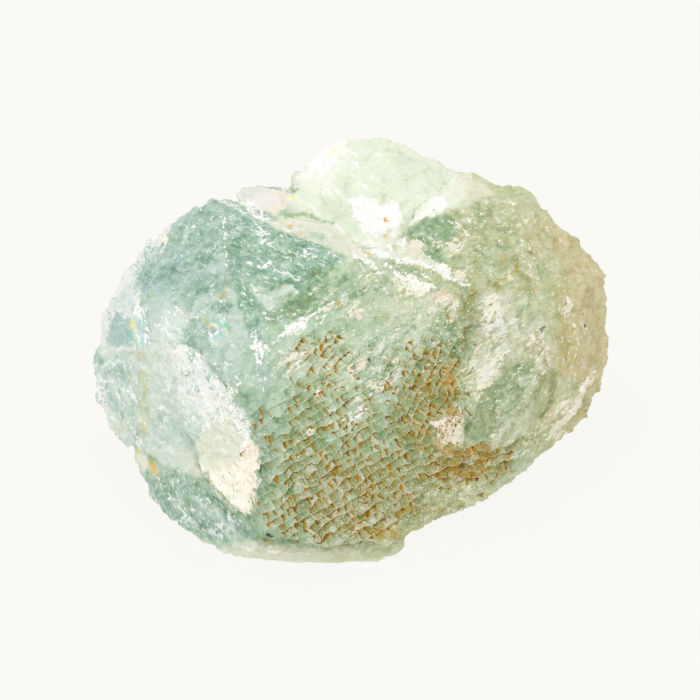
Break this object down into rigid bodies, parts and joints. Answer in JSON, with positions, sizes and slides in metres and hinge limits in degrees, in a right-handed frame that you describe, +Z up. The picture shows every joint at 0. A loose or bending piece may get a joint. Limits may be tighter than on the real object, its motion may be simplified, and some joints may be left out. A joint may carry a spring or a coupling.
{
  "type": "rough fluorite",
  "caption": "Rough chunk of green fluorite: a ridged dark green block, a frosted white slab, a tiled front, an olive lobe and a pale lump behind, resting on a small flat spot.",
  "frame": {"origin": "middle of the stone's box, at the height of the surface it rests on", "axes": "+X to the right as the picture shows the stone and along its longest side, +Y towards the back, +Z up"},
  "size_m": [0.0614, 0.0482, 0.0353],
  "materials": {
    "fluorite": "satin"
  },
  "bodies": {
    "root": {"fluorite": "fluorite"}
  },
  "joints": []
}
